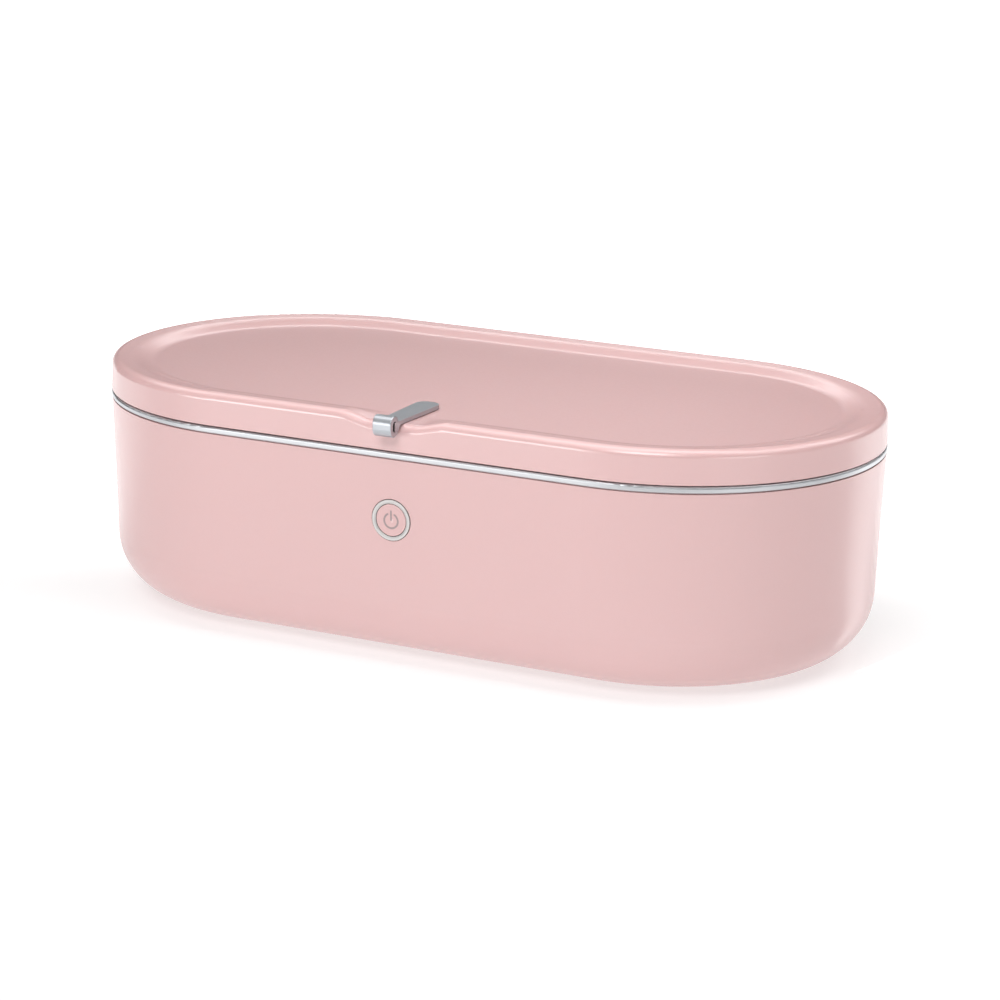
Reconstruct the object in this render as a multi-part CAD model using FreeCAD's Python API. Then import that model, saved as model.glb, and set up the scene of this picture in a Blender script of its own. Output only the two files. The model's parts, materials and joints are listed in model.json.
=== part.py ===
import FreeCAD
import Part
import math
import os

# Ultraviolet steriliser box: a stadium-shaped tub with a mirrored liner, a bright trim ring at its
# rim and a dished lid on a rear hinge. All sizes are in millimetres. The origin is the middle of
# the plan, on the surface the feet stand on: +X along the box, -Y the front with the button, +Z up.

V = FreeCAD.Vector
UP = V(0, 0, 1)
ALONG = V(1, 0, 0)

# Two points closer than this count as one
point_tolerance = 1e-6

# Overall form
body_length = 250.0
body_width = 128.6
foot_height = 1.0
tub_height = 62.1
trim_height = 2.4
lid_height = 10.2

# Tub
tub_wall = 2.2
tub_draft = 1.9
tub_bottom_radius = 18.6
tub_set_in = 0.1
edge_round = 0.35

# Seams that show as dark lines above and below the trim ring; the lip of the tub falls away inward
seam_gap = 0.3
seam_depth = 0.9
seam_undercut = 0.45
tub_lip_round = 0.15
trim_leg_width = 2.9
trim_leg_thickness = 0.8
trim_top_round = 0.7
trim_bottom_round = 0.25

# Mirrored liner
service_clearance = 1.2
under_space = 5.0
liner_wall = 1.2
liner_draft = 3.0
liner_bottom_radius = 14.0
liner_lip_round = 0.8
flange_clearance = 0.3

# Lid
lid_wall = 2.0
lid_lean = 0.4
lid_edge_radius = 2.4
rim_width = 13.0
rim_roll_width = 7.6
rim_roll_drop = 0.6
rim_roll_radius = 14.0
dish_depth = 2.2
dish_corner_radius = 8.0
dip_rest = 0.1
dip_flat_half = 6.5
dip_ramp = 11.0
dip_stations = 15

# Inner panel of the lid, which drops a little way into the mouth of the liner
panel_thickness = 1.2
panel_recess = 0.3
panel_clearance = 0.3
panel_drop = 3.0
panel_slope_width = 3.0
panel_mouth_clearance = 2.5
panel_drop_round = 2.0
panel_shoulder_round = 1.0

# Lift tab on the lid
tab_barrel_depth = 5.0
tab_barrel_height = 6.3
tab_slot_depth = 2.2
tab_slot_height = 3.2
tab_barrel_gap = 0.8
tab_root_width = 6.0
tab_tip_width = 7.4
tab_thickness = 1.2
tab_float = 0.3
tab_tip_reach = 25.5
tab_tip_round = 3.1
tab_web_drop = 1.4
tab_web_radius = 1.2
tab_edge_round = 0.25
tab_post_radius = 1.5
tab_post_inset = 4.5
tab_post_pitch = 5.0
tab_post_seat_radius = 2.2

# Hinge at the rear
hinge_pin_radius = 1.25
hinge_running_clearance = 0.05
hinge_knuckle_radius = 3.0
hinge_wall_clearance = 0.3
hinge_lid_length = 39.6
hinge_lug_length = 12.0
hinge_side_clearance = 0.2
hinge_pin_recess = 0.5
hinge_lug_drop = 18.0
hinge_lid_web_rise = 7.0

# Power button on the front wall
button_height = 43.75
button_travel = 0.8
button_cap_radius = 4.85
button_cap_proud = 0.15
button_cap_dish = 0.12
button_edge_round = 0.2
button_side_clearance = 0.15
button_flange_overlap = 1.2
button_flange_thickness = 1.0
bezel_sleeve_wall = 0.6
bezel_flange_width = 0.6
bezel_edge_round = 0.15
bezel_bevel_width = 0.45
bezel_bevel_drop = 0.2
bezel_proud = 0.3
bezel_seat_depth = 0.6
bezel_seat_gap = 0.2
bezel_sleeve_length = 3.2
bezel_hole_clearance = 0.05
button_rest_gap = 0.2

# Tactile switch and control board behind the button
board_thickness = 1.2
board_width = 64.0
board_top = 13.0
board_bottom = 18.0
board_boss_radius = 3.0
board_boss_margin = 4.0
driver_chip = (7.0, 7.0, 1.2)
driver_chip_spot = (-15.0, -7.0)
driver_coil = (8.0, 8.0, 4.0)
driver_coil_spot = (14.0, -7.0)
capacitor_radius = 2.5
capacitor_height = 5.2
capacitor_spots = ((-18.0, 2.0), (18.0, 2.0))
switch_width = 6.0
switch_height = 3.1
switch_plunger_radius = 1.7
switch_plunger_clearance = 0.05
switch_bore_depth = 1.9
switch_spare_travel = 0.1
sensor_size = (4.0, 3.0, 1.6)

# Power inlet on the rear wall
inlet_height = 30.0
inlet_standoff = 7.6
inlet_board_half_height = 6.5
inlet_board_margin = 1.3
inlet_boss_radius = 2.5
inlet_boss_gap = 2.2
socket_width = 8.94
socket_height = 3.26
socket_wall = 0.3
socket_depth = 6.2
socket_recess = 0.9
socket_tongue = (6.6, 0.7, 5.2)
slot_clearance = 0.18
plug_recess_margin = 1.9
plug_recess_depth = 0.6

# Feet and the screws above them
foot_radius = 6.0
foot_seat = 1.0
foot_clearance = 0.1
foot_edge_round = 0.4
foot_edge_margin = 7.0
foot_angle = 80.0
case_boss_radius = 5.0
case_boss_height = 2.0
case_post_radius = 4.0

# Fasteners: shank radius, head radius, head height
case_screw = (1.5, 2.6, 1.6)
board_screw = (1.1, 2.0, 1.4)
panel_screw = (1.3, 2.5, 0.9)
small_screw = (0.85, 1.8, 1.0)
head_round_share = 0.45
cross_depth_share = 0.5
cross_length_share = 1.1
cross_width_share = 0.3
thread_clearance = 0.03
head_clearance = 0.2
screw_tip_gap = 0.4

# Ultraviolet light units in the lid
led_offset = 55.0
led_window_radius = 6.0
led_window_flange_radius = 8.0
led_window_flange = 0.8
led_window_clearance = 0.1
led_board_depth = 18.0
led_board_thickness = 1.0
led_board_margin = 0.7
led_board_rise = 3.8
led_post_radius = 2.0
led_chip_size = (3.5, 3.5, 1.3)
led_chip_pitch = 5.0
led_lens_radius = 1.4
led_lens_height = 0.9
panel_screw_along = 30.0
panel_screw_inset = 6.0
panel_boss_radius = 3.2

# Seal, magnets and wiring
seal_width = 2.5
seal_inset = 5.9
seal_groove = 0.6
seal_edge_round = 0.25
magnet_radius = 2.5
magnet_height = 2.5
magnet_offset = 42.0
magnet_wall_gap = 0.4
sensor_magnet_size = (6.0, 3.0, 2.0)
harness_radius = 1.3
harness_bend = 11.5
harness_floor_gap = 1.3
harness_end_gap = 0.3
connector_size = (8.0, 4.0, 4.2)
flex_connector_size = (10.0, 2.0, 2.1)
flex_width = 8.0
flex_thickness = 0.4
flex_slot_clearance = 0.5
flex_lead = 8.0
flex_tail = 4.0
lid_wire_radius = 0.8
lid_wire_spacing = 2.4
lid_wire_bend = 10.0

# Heights and radii that follow from the sizes above
rim_radius = body_width / 2
spine_half = (body_length - body_width) / 2
z_floor = foot_height
z_tub = z_floor + tub_height
z_lid = z_tub + trim_height
z_crest = z_lid + lid_height
z_dish = z_crest - dish_depth
z_lid_ceiling = z_dish - lid_wall
draft_slope = math.tan(math.radians(tub_draft))
tub_top_radius = rim_radius - tub_set_in
z_inner_floor = z_floor + tub_wall
z_band_low = z_tub + seam_gap
z_band_high = z_lid - seam_gap
band_inner_radius = rim_radius - seam_depth
z_flange_under = z_tub + trim_leg_thickness
z_flange = z_band_high
flange_radius = band_inner_radius - flange_clearance
liner_slope = math.tan(math.radians(liner_draft))
bezel_bore_radius = button_cap_radius + button_side_clearance
bezel_sleeve_radius = bezel_bore_radius + bezel_sleeve_wall
bezel_outer_radius = bezel_sleeve_radius + bezel_flange_width
button_flange_radius = bezel_bore_radius + button_flange_overlap
button_flange_front = -bezel_sleeve_length - button_rest_gap
button_back = button_flange_front - button_flange_thickness
switch_front = button_back - button_travel - switch_spare_travel
board_standoff = switch_height - switch_front
board_stack = board_standoff + board_thickness + board_screw[2]
liner_top_radius = tub_top_radius - board_stack - service_clearance
z_liner_under = z_inner_floor + under_space
z_liner_floor = z_liner_under + liner_wall
panel_radius = rim_radius - lid_wall - panel_clearance
z_panel_under = z_lid + panel_recess
z_panel_top = z_panel_under + panel_thickness
z_panel_low = z_panel_under - panel_drop
z_panel_floor = z_panel_top - panel_drop
seal_outer_radius = rim_radius - seal_inset
hinge_y = rim_radius + hinge_wall_clearance + hinge_knuckle_radius
hinge_z = z_lid - seam_gap / 2
hinge_bore_radius = hinge_pin_radius + hinge_running_clearance
hinge_lid_half = hinge_lid_length / 2
hinge_gap_half = hinge_lid_half + hinge_side_clearance
hinge_half = hinge_gap_half + hinge_lug_length
dip_depth = dish_depth - dip_rest
dip_half_width = dip_flat_half + dip_ramp
z_tab_under = z_dish + tab_float
tab_barrel_y = -(rim_radius + tab_barrel_gap + tab_barrel_depth / 2)
tab_tip_y = -(rim_radius - tab_tip_reach)
trim_leg_radius = band_inner_radius - trim_leg_width
flex_y = trim_leg_radius - flex_slot_clearance - flex_thickness
led_post_offset = led_window_flange_radius + led_window_clearance + led_post_radius
led_board_length = 2 * (led_post_offset + led_post_radius + led_board_margin)
z_led_board = z_panel_floor + led_board_rise
inlet_boss_offset = socket_width / 2 + inlet_boss_gap + inlet_boss_radius
inlet_board_width = 2 * (inlet_boss_offset + inlet_boss_radius + inlet_board_margin)


def tub_radius(z):
    return tub_top_radius - draft_slope * (z_tub - z)


def liner_radius(z):
    return liner_top_radius - liner_slope * (z_flange_under - z)


mouth_radius = liner_radius(z_flange) - liner_wall
panel_shoulder_radius = mouth_radius - panel_mouth_clearance
panel_foot_radius = panel_shoulder_radius - panel_slope_width
panel_screw_reach = panel_foot_radius - panel_screw_inset
foot_reach = tub_radius(z_floor) - tub_bottom_radius - foot_edge_margin - foot_radius


# Places of what repeats


def four_corners(x, y):
    return [(side * x, end * y) for end in (-1, 1) for side in (-1, 1)]


foot_spots = four_corners(
    spine_half + foot_reach * math.cos(math.radians(foot_angle)),
    foot_reach * math.sin(math.radians(foot_angle)),
)
board_boss_spots = [
    (side * (board_width / 2 - board_boss_margin), y)
    for y in (board_boss_margin - board_bottom, board_top - board_boss_margin)
    for side in (-1, 1)
]
inlet_boss_spots = [(-inlet_boss_offset, 0.0), (inlet_boss_offset, 0.0)]
led_spots = (-led_offset, led_offset)
led_chip_spots = [(spot, side * led_chip_pitch / 2) for spot in led_spots for side in (-1, 1)]
led_post_spots = [spot + side * led_post_offset for spot in led_spots for side in (-1, 1)]
panel_screw_spots = four_corners(panel_screw_along, panel_screw_reach)
panel_screw_spots += [(side * (spine_half + panel_screw_reach), 0.0) for side in (-1, 1)]
magnet_y = -(liner_top_radius + magnet_wall_gap + magnet_radius)
magnet_spots = [(-magnet_offset, magnet_y), (magnet_offset, magnet_y)]
tab_post_first = -(rim_radius - rim_width - tab_post_inset)
tab_post_places = (tab_post_first, tab_post_first + tab_post_pitch)


# Shared shape makers


def section(r, z):
    return V(0, r, z)


def plan(x, y):
    return V(x, y, 0)


def corner_wire(corners, place):
    # Closed wire through corners (a, b, radius), each rounded by a tangent arc of its radius.
    spans = []
    for index, (a, b, radius) in enumerate(corners):
        here = V(a, b, 0)
        before = V(*corners[index - 1][:2], 0) - here
        after = V(*corners[(index + 1) % len(corners)][:2], 0) - here
        before.normalize()
        after.normalize()
        if radius == 0:
            spans.append((here, None, here))
            continue
        half = before.getAngle(after) / 2
        reach = radius / math.tan(half)
        inward = before + after
        inward.normalize()
        middle = here + inward * (radius / math.sin(half) - radius)
        spans.append((here + before * reach, middle, here + after * reach))
    edges = []
    for index, (start, middle, end) in enumerate(spans):
        if middle is not None:
            arc = [place(p.x, p.y) for p in (start, middle, end)]
            edges.append(Part.Arc(*arc).toShape())
        following = spans[(index + 1) % len(spans)][0]
        if end.distanceToPoint(following) > point_tolerance:
            edges.append(Part.LineSegment(place(end.x, end.y), place(following.x, following.y)).toShape())
    return Part.Wire(edges)


def corner_face(corners, place):
    return Part.Face(corner_wire(corners, place))


def around(face):
    # Carries a section, drawn on the rear side, right round the stadium outline.
    rear = face.translated(V(-spine_half, 0, 0)).extrude(V(2 * spine_half, 0, 0))
    right = face.translated(V(spine_half, 0, 0)).revolve(V(spine_half, 0, 0), UP, -180)
    front = rear.rotated(V(), UP, 180)
    left = right.rotated(V(), UP, 180)
    return rear.multiFuse([right, front, left]).removeSplitter()


def cylinder(radius, low, high, x=0.0, y=0.0):
    return Part.makeCylinder(radius, high - low, V(x, y, low))


def block(x_size, y_size, low, high, x=0.0, y=0.0):
    return Part.makeBox(x_size, y_size, high - low, V(x - x_size / 2, y - y_size / 2, low))


def socket_bar(margin, low, high):
    # Bar with round ends, the shape of the power socket grown by a margin.
    half_x = socket_width / 2 + margin
    half_y = socket_height / 2 + margin
    spots = ((-half_x, -half_y), (half_x, -half_y), (half_x, half_y), (-half_x, half_y))
    face = corner_face([(x, y, half_y) for x, y in spots], plan)
    return face.translated(V(0, 0, low)).extrude(V(0, 0, high - low))


def turned(corners):
    # Solid of revolution about Z from a half outline of (radius, height, corner radius).
    return corner_face(corners, section).revolve(V(), UP, 360)


def screw(size, length):
    # Head below z = 0 and shank above it, with a cross recess in the head.
    shank_radius, head_radius, head_height = size
    round_off = head_height * head_round_share
    body = turned([
        (0, -head_height, 0),
        (head_radius, -head_height, round_off),
        (head_radius, 0, 0),
        (shank_radius, 0, 0),
        (shank_radius, length - shank_radius, 0),
        (0, length, 0),
    ])
    slot_long = head_radius * cross_length_share
    slot_wide = head_radius * cross_width_share
    slot_floor = head_height * (cross_depth_share - 1)
    arms = ((slot_long, slot_wide), (slot_wide, slot_long))
    cross = [block(x_size, y_size, -head_height, slot_floor) for x_size, y_size in arms]
    return body.cut(cross[0].fuse(cross[1]))


def tangent_point(centre, radius, outside, side):
    # Point where a line from outside touches a circle, on the side asked for.
    away = outside - centre
    angle = math.acos(radius / away.Length)
    spin = FreeCAD.Rotation(ALONG, math.degrees(side * angle))
    away.normalize()
    return centre + spin.multVec(away) * radius


def wall_frame(height, outward):
    # Frame on the tub wall: local Z out of the wall, local Y up it. Outward is -1 front, +1 rear.
    lean = math.radians(tub_draft)
    z_axis = V(0, outward * math.cos(lean), -math.sin(lean))
    x_axis = V(-outward, 0, 0)
    y_axis = z_axis.cross(x_axis)
    spin = FreeCAD.Rotation(x_axis, y_axis, z_axis, "ZXY")
    z = z_floor + height
    return FreeCAD.Placement(V(0, outward * tub_radius(z), z), spin)


front_wall = wall_frame(button_height, -1)
rear_wall = wall_frame(inlet_height, 1)


def on(frame, shape):
    placed = shape.copy()
    placed.Placement = frame.multiply(placed.Placement)
    return placed


def compound(shapes):
    return Part.makeCompound(shapes)


# Hinge sections, drawn across the hinge line and then carried along it


def knuckle(low_x, high_x, outline):
    face = Part.Face(Part.makePolygon(outline + outline[:1]))
    web = face.translated(V(low_x, 0, 0)).extrude(V(high_x - low_x, 0, 0))
    barrel = Part.makeCylinder(hinge_knuckle_radius, high_x - low_x, V(low_x, hinge_y, hinge_z), ALONG)
    return web.fuse(barrel)


def hinge_bore(low_x, high_x):
    return Part.makeCylinder(hinge_bore_radius, high_x - low_x, V(low_x, hinge_y, hinge_z), ALONG)


def tub_lug_outline():
    axis = section(hinge_y, hinge_z)
    foot_z = z_tub - hinge_lug_drop
    foot = section(tub_radius(foot_z), foot_z)
    outer = tangent_point(axis, hinge_knuckle_radius, foot, 1)
    inner_y = hinge_y - hinge_knuckle_radius
    shoulder_z = z_tub - seam_gap
    rooted = tub_wall / 2
    return [
        foot,
        outer,
        axis,
        section(inner_y, hinge_z),
        section(inner_y, shoulder_z),
        section(tub_radius(shoulder_z) - rooted, shoulder_z),
        section(tub_radius(foot_z) - rooted, foot_z),
    ]


def lid_lug_outline():
    axis = section(hinge_y, hinge_z)
    rooted = lid_wall / 2
    top = section(rim_radius - lid_lean, z_lid + hinge_lid_web_rise)
    outer = tangent_point(axis, hinge_knuckle_radius, top, -1)
    return [
        section(rim_radius - rooted, z_lid + seam_gap),
        axis,
        outer,
        top,
        section(rim_radius - rooted, top.z),
    ]


# Tub group


def case_screw_stack():
    # Heights of the screw that clamps the liner, from the foot upward.
    z_head = z_floor + foot_seat + head_clearance
    z_seat = z_head + case_screw[2]
    z_boss = z_inner_floor + case_boss_height
    return z_seat, z_boss


def base_shell():
    z_seat, z_boss = case_screw_stack()
    shell = around(corner_face([
        (0, z_floor, 0),
        (tub_radius(z_floor), z_floor, tub_bottom_radius),
        (tub_top_radius, z_tub, tub_lip_round),
        (band_inner_radius, z_tub - seam_undercut, 0),
        (band_inner_radius, z_tub, 0),
        (tub_top_radius - tub_wall, z_tub, 0),
        (tub_radius(z_inner_floor) - tub_wall, z_inner_floor, tub_bottom_radius - tub_wall),
        (0, z_inner_floor, 0),
    ], section))
    rooted = tub_wall / 2
    added = [cylinder(case_boss_radius, z_floor + rooted, z_boss, x, y) for x, y in foot_spots]
    for x, y in board_boss_spots:
        added.append(on(front_wall, cylinder(board_boss_radius, -board_standoff, -rooted, x, y)))
    for x, y in inlet_boss_spots:
        added.append(on(rear_wall, cylinder(inlet_boss_radius, -inlet_standoff, -rooted, x, y)))
    outline = tub_lug_outline()
    added.append(knuckle(-hinge_half, -hinge_gap_half, outline))
    added.append(knuckle(hinge_gap_half, hinge_half, outline))
    cuts = [hinge_bore(-hinge_half, hinge_half)]
    for x, y in foot_spots:
        cuts.append(cylinder(foot_radius + foot_clearance, z_floor, z_floor + foot_seat, x, y))
        cuts.append(cylinder(case_screw[1] + head_clearance, z_floor, z_seat, x, y))
        cuts.append(cylinder(case_screw[0] + head_clearance, z_floor, z_boss, x, y))
    cuts.append(on(front_wall, cylinder(bezel_sleeve_radius + bezel_hole_clearance, -2 * tub_wall, tub_wall)))
    cuts.append(on(front_wall, cylinder(bezel_outer_radius + bezel_seat_gap, -bezel_seat_depth, tub_wall)))
    pilot = board_screw[0] + thread_clearance
    board_depth = board_standoff - tub_wall
    for x, y in board_boss_spots:
        cuts.append(on(front_wall, cylinder(pilot, -board_standoff, -board_standoff + board_depth, x, y)))
    inlet_depth = inlet_standoff - tub_wall
    for x, y in inlet_boss_spots:
        cuts.append(on(rear_wall, cylinder(pilot, -inlet_standoff, -inlet_standoff + inlet_depth, x, y)))
    cuts.append(on(rear_wall, socket_bar(slot_clearance, -2 * tub_wall, tub_wall)))
    cuts.append(on(rear_wall, socket_bar(plug_recess_margin, -plug_recess_depth, tub_wall)))
    return shell.multiFuse(added).cut(compound(cuts)).removeSplitter()


def base_liner():
    z_boss = case_screw_stack()[1]
    bowl = around(corner_face([
        (0, z_liner_under, 0),
        (liner_radius(z_liner_under), z_liner_under, liner_bottom_radius),
        (liner_top_radius, z_flange_under, 0),
        (flange_radius, z_flange_under, 0),
        (flange_radius, z_flange, 0),
        (liner_radius(z_flange) - liner_wall, z_flange, liner_lip_round),
        (liner_radius(z_liner_floor) - liner_wall, z_liner_floor, liner_bottom_radius - liner_wall),
        (0, z_liner_floor, 0),
    ], section))
    rooted = liner_wall / 2
    posts = [cylinder(case_post_radius, z_boss, z_liner_under + rooted, x, y) for x, y in foot_spots]
    pilot = case_screw[0] + thread_clearance
    cuts = [cylinder(pilot, z_boss, z_liner_under, x, y) for x, y in foot_spots]
    cuts.append(flex_slot(z_flange_under, z_flange))
    return bowl.multiFuse(posts).cut(compound(cuts)).removeSplitter()


def flex_slot(low, high):
    x_size = flex_width + 2 * flex_slot_clearance
    y_size = flex_thickness + 2 * flex_slot_clearance
    return block(x_size, y_size, low, high, 0, flex_y + flex_thickness / 2)


def trim_ring():
    return around(corner_face([
        (trim_leg_radius, z_tub, 0),
        (band_inner_radius, z_tub, 0),
        (band_inner_radius, z_band_low, 0),
        (rim_radius, z_band_low, trim_bottom_round),
        (rim_radius, z_band_high, trim_top_round),
        (band_inner_radius, z_band_high, 0),
        (band_inner_radius, z_flange_under, 0),
        (trim_leg_radius, z_flange_under, 0),
    ], section))


def rubber_feet():
    foot = turned([
        (0, 0, 0),
        (foot_radius, 0, foot_edge_round),
        (foot_radius, foot_height + foot_seat, 0),
        (0, foot_height + foot_seat, 0),
    ])
    return compound([foot.translated(V(x, y, 0)) for x, y in foot_spots])


def case_screws():
    z_seat = case_screw_stack()[0]
    one = screw(case_screw, z_liner_under - z_seat - screw_tip_gap)
    return compound([one.translated(V(x, y, z_seat)) for x, y in foot_spots])


def button_bezel():
    sleeve_end = -bezel_sleeve_length
    ring = turned([
        (bezel_bore_radius, sleeve_end, 0),
        (bezel_sleeve_radius, sleeve_end, 0),
        (bezel_sleeve_radius, -bezel_seat_depth, 0),
        (bezel_outer_radius, -bezel_seat_depth, 0),
        (bezel_outer_radius, bezel_proud, bezel_edge_round),
        (bezel_bore_radius + bezel_bevel_width, bezel_proud, 0),
        (bezel_bore_radius, bezel_proud - bezel_bevel_drop, 0),
    ])
    return on(front_wall, ring)


def power_button():
    cap = turned([
        (0, button_back, 0),
        (button_flange_radius, button_back, 0),
        (button_flange_radius, button_flange_front, 0),
        (button_cap_radius, button_flange_front, 0),
        (button_cap_radius, button_cap_proud, button_edge_round),
        (0, button_cap_proud - button_cap_dish, 0),
    ])
    return on(front_wall, cap)


def switch_plunger():
    low = switch_front - switch_bore_depth + button_travel + switch_spare_travel
    return on(front_wall, cylinder(switch_plunger_radius, low, button_back))


def tact_switch():
    body = block(switch_width, switch_width, -board_standoff, switch_front)
    bore_radius = switch_plunger_radius + switch_plunger_clearance
    bore = cylinder(bore_radius, switch_front - switch_bore_depth, switch_front)
    return on(front_wall, body.cut(bore))


def control_board():
    height = board_top + board_bottom
    middle = (board_top - board_bottom) / 2
    back = -board_standoff - board_thickness
    plate = block(board_width, height, back, -board_standoff, 0, middle)
    hole = board_screw[0] + head_clearance
    holes = [cylinder(hole, back, -board_standoff, x, y) for x, y in board_boss_spots]
    return on(front_wall, plate.cut(compound(holes)))


def board_components():
    face = -board_standoff
    x_size, y_size, height = connector_size
    solids = [block(x_size, y_size, face, face + height, 0, y_size / 2 - board_bottom)]
    for size, spot in ((driver_chip, driver_chip_spot), (driver_coil, driver_coil_spot)):
        solids.append(block(size[0], size[1], face, face + size[2], *spot))
    for spot in capacitor_spots:
        solids.append(cylinder(capacitor_radius, face, face + capacitor_height, *spot))
    return compound([on(front_wall, solid) for solid in solids])


def lid_sensor():
    face = -board_standoff
    x_size, y_size, height = sensor_size
    return on(front_wall, block(x_size, y_size, face, face + height, 0, board_top - y_size / 2))


def board_screws(frame, spots, standoff):
    back = -standoff - board_thickness
    one = screw(board_screw, standoff - tub_wall + board_thickness - screw_tip_gap)
    return compound([on(frame, one.translated(V(x, y, back))) for x, y in spots])


def inlet_board():
    back = -inlet_standoff - board_thickness
    plate = block(inlet_board_width, 2 * inlet_board_half_height, back, -inlet_standoff)
    hole = board_screw[0] + head_clearance
    holes = [cylinder(hole, back, -inlet_standoff, x, y) for x, y in inlet_boss_spots]
    return on(rear_wall, plate.cut(compound(holes)))


def inlet_connectors():
    face = -inlet_standoff
    x_size, y_size, height = connector_size
    lower = block(x_size, y_size, face, face + height, 0, y_size / 2 - inlet_board_half_height)
    x_size, y_size, height = flex_connector_size
    upper = block(x_size, y_size, face, face + height, 0, inlet_board_half_height - y_size / 2)
    return compound([on(rear_wall, lower), on(rear_wall, upper)])


def usb_socket():
    high = -socket_recess
    z_back = high - socket_depth
    shell = socket_bar(0, -inlet_standoff, high)
    hollow = socket_bar(-socket_wall, z_back, high)
    tongue_x, tongue_y, tongue_z = socket_tongue
    tongue = block(tongue_x, tongue_y, z_back, z_back + tongue_z)
    return on(rear_wall, shell.cut(hollow).fuse(tongue))


def base_magnets():
    low = z_flange_under - magnet_height
    return compound([cylinder(magnet_radius, low, z_flange_under, x, y) for x, y in magnet_spots])


def connector_foot(frame, standoff, edge):
    # Point where a cable leaves the lower face of a board connector.
    return frame.multVec(V(0, -edge, -standoff + connector_size[2] / 2))


def base_harness():
    # Cable from the inlet board, down the rear, under the liner and up to the control board.
    clear = V(0, 0, -harness_end_gap)
    rear = connector_foot(rear_wall, inlet_standoff, inlet_board_half_height) + clear
    front = connector_foot(front_wall, board_standoff, board_bottom) + clear
    z = z_inner_floor + harness_floor_gap + harness_radius
    bend = harness_bend
    lift = V(0, 0, bend)
    rear_low = V(0, rear.y, z)
    front_low = V(0, front.y, z)
    inward = V(0, bend, 0)
    sweep = bend * (1 - math.sqrt(0.5))
    edges = [
        Part.LineSegment(rear, rear_low + lift).toShape(),
        Part.Arc(rear_low + lift, rear_low + V(0, -sweep, sweep), rear_low - inward).toShape(),
        Part.LineSegment(rear_low - inward, front_low + inward).toShape(),
        Part.Arc(front_low + inward, front_low + V(0, sweep, sweep), front_low + lift).toShape(),
        Part.LineSegment(front_low + lift, front).toShape(),
    ]
    end = Part.Wire(Part.makeCircle(harness_radius, rear, UP))
    return Part.Wire(edges).makePipeShell([end], True, False)


def hinge_pin():
    half = hinge_half - hinge_pin_recess
    return Part.makeCylinder(hinge_pin_radius, 2 * half, V(-half, hinge_y, hinge_z), ALONG)


# Lid group


def lid_section_corners(dip):
    # Half section of the lid shell; dip lowers the rim where the lift tab crosses it.
    z_rim = z_crest - dip
    z_roll = z_dish + (dish_depth - rim_roll_drop) * (z_rim - z_dish) / dish_depth
    outer = rim_radius - lid_lean
    roll = rim_radius - rim_roll_width
    foot = rim_radius - rim_width
    return [
        (rim_radius, z_lid, edge_round),
        (outer, z_rim, lid_edge_radius),
        (roll, z_roll, rim_roll_radius),
        (foot, z_dish, dish_corner_radius),
    ], [
        (foot, z_dish - lid_wall, dish_corner_radius),
        (roll, z_roll - lid_wall, rim_roll_radius),
        (outer - lid_wall, z_rim - lid_wall, edge_round),
        (rim_radius - lid_wall, z_lid, 0),
    ]


def dip_at(x):
    # Flat under the tab, then a smooth ramp up to the level rim on each side.
    ramp = max(0.0, abs(x) - dip_flat_half) / dip_ramp
    return dip_depth * (1 + math.cos(math.pi * ramp)) / 2


def lid_rim_strip():
    # Short closed section of the front rim, for the stretch with the dip.
    join_radius = rim_radius - rim_width - dish_corner_radius
    wires = []
    for station in range(dip_stations):
        x = dip_half_width * (2 * station / (dip_stations - 1) - 1)
        top, under = lid_section_corners(dip_at(x))
        corners = top + [(join_radius, z_dish, 0), (join_radius, z_lid_ceiling, 0)] + under
        wires.append(corner_wire(corners, lambda r, z: V(x, -r, z)))
    return Part.makeLoft(wires, True, False)


def lid_shell():
    top, under = lid_section_corners(0)
    shell = around(corner_face(top + [(0, z_dish, 0), (0, z_lid_ceiling, 0)] + under, section))
    join_radius = rim_radius - rim_width - dish_corner_radius
    window = block(2 * dip_half_width, rim_width * 2, 0, 2 * z_crest, 0, -(join_radius + rim_width))
    shell = shell.cut(window)
    added = [lid_rim_strip()]
    outline = lid_lug_outline()
    added.append(knuckle(-hinge_lid_half, hinge_lid_half, outline))
    rooted = lid_wall / 2
    for x, y in panel_screw_spots:
        added.append(cylinder(panel_boss_radius, z_panel_floor, z_lid_ceiling + rooted, x, y))
    cuts = [hinge_bore(-hinge_lid_half, hinge_lid_half)]
    pilot = panel_screw[0] + thread_clearance
    for x, y in panel_screw_spots:
        cuts.append(cylinder(pilot, z_panel_floor, z_lid_ceiling, x, y))
    for y in tab_post_places:
        cuts.append(cylinder(tab_post_radius + head_clearance, z_lid_ceiling, z_dish, 0, y))
    return shell.multiFuse(added).cut(compound(cuts)).removeSplitter()


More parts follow.
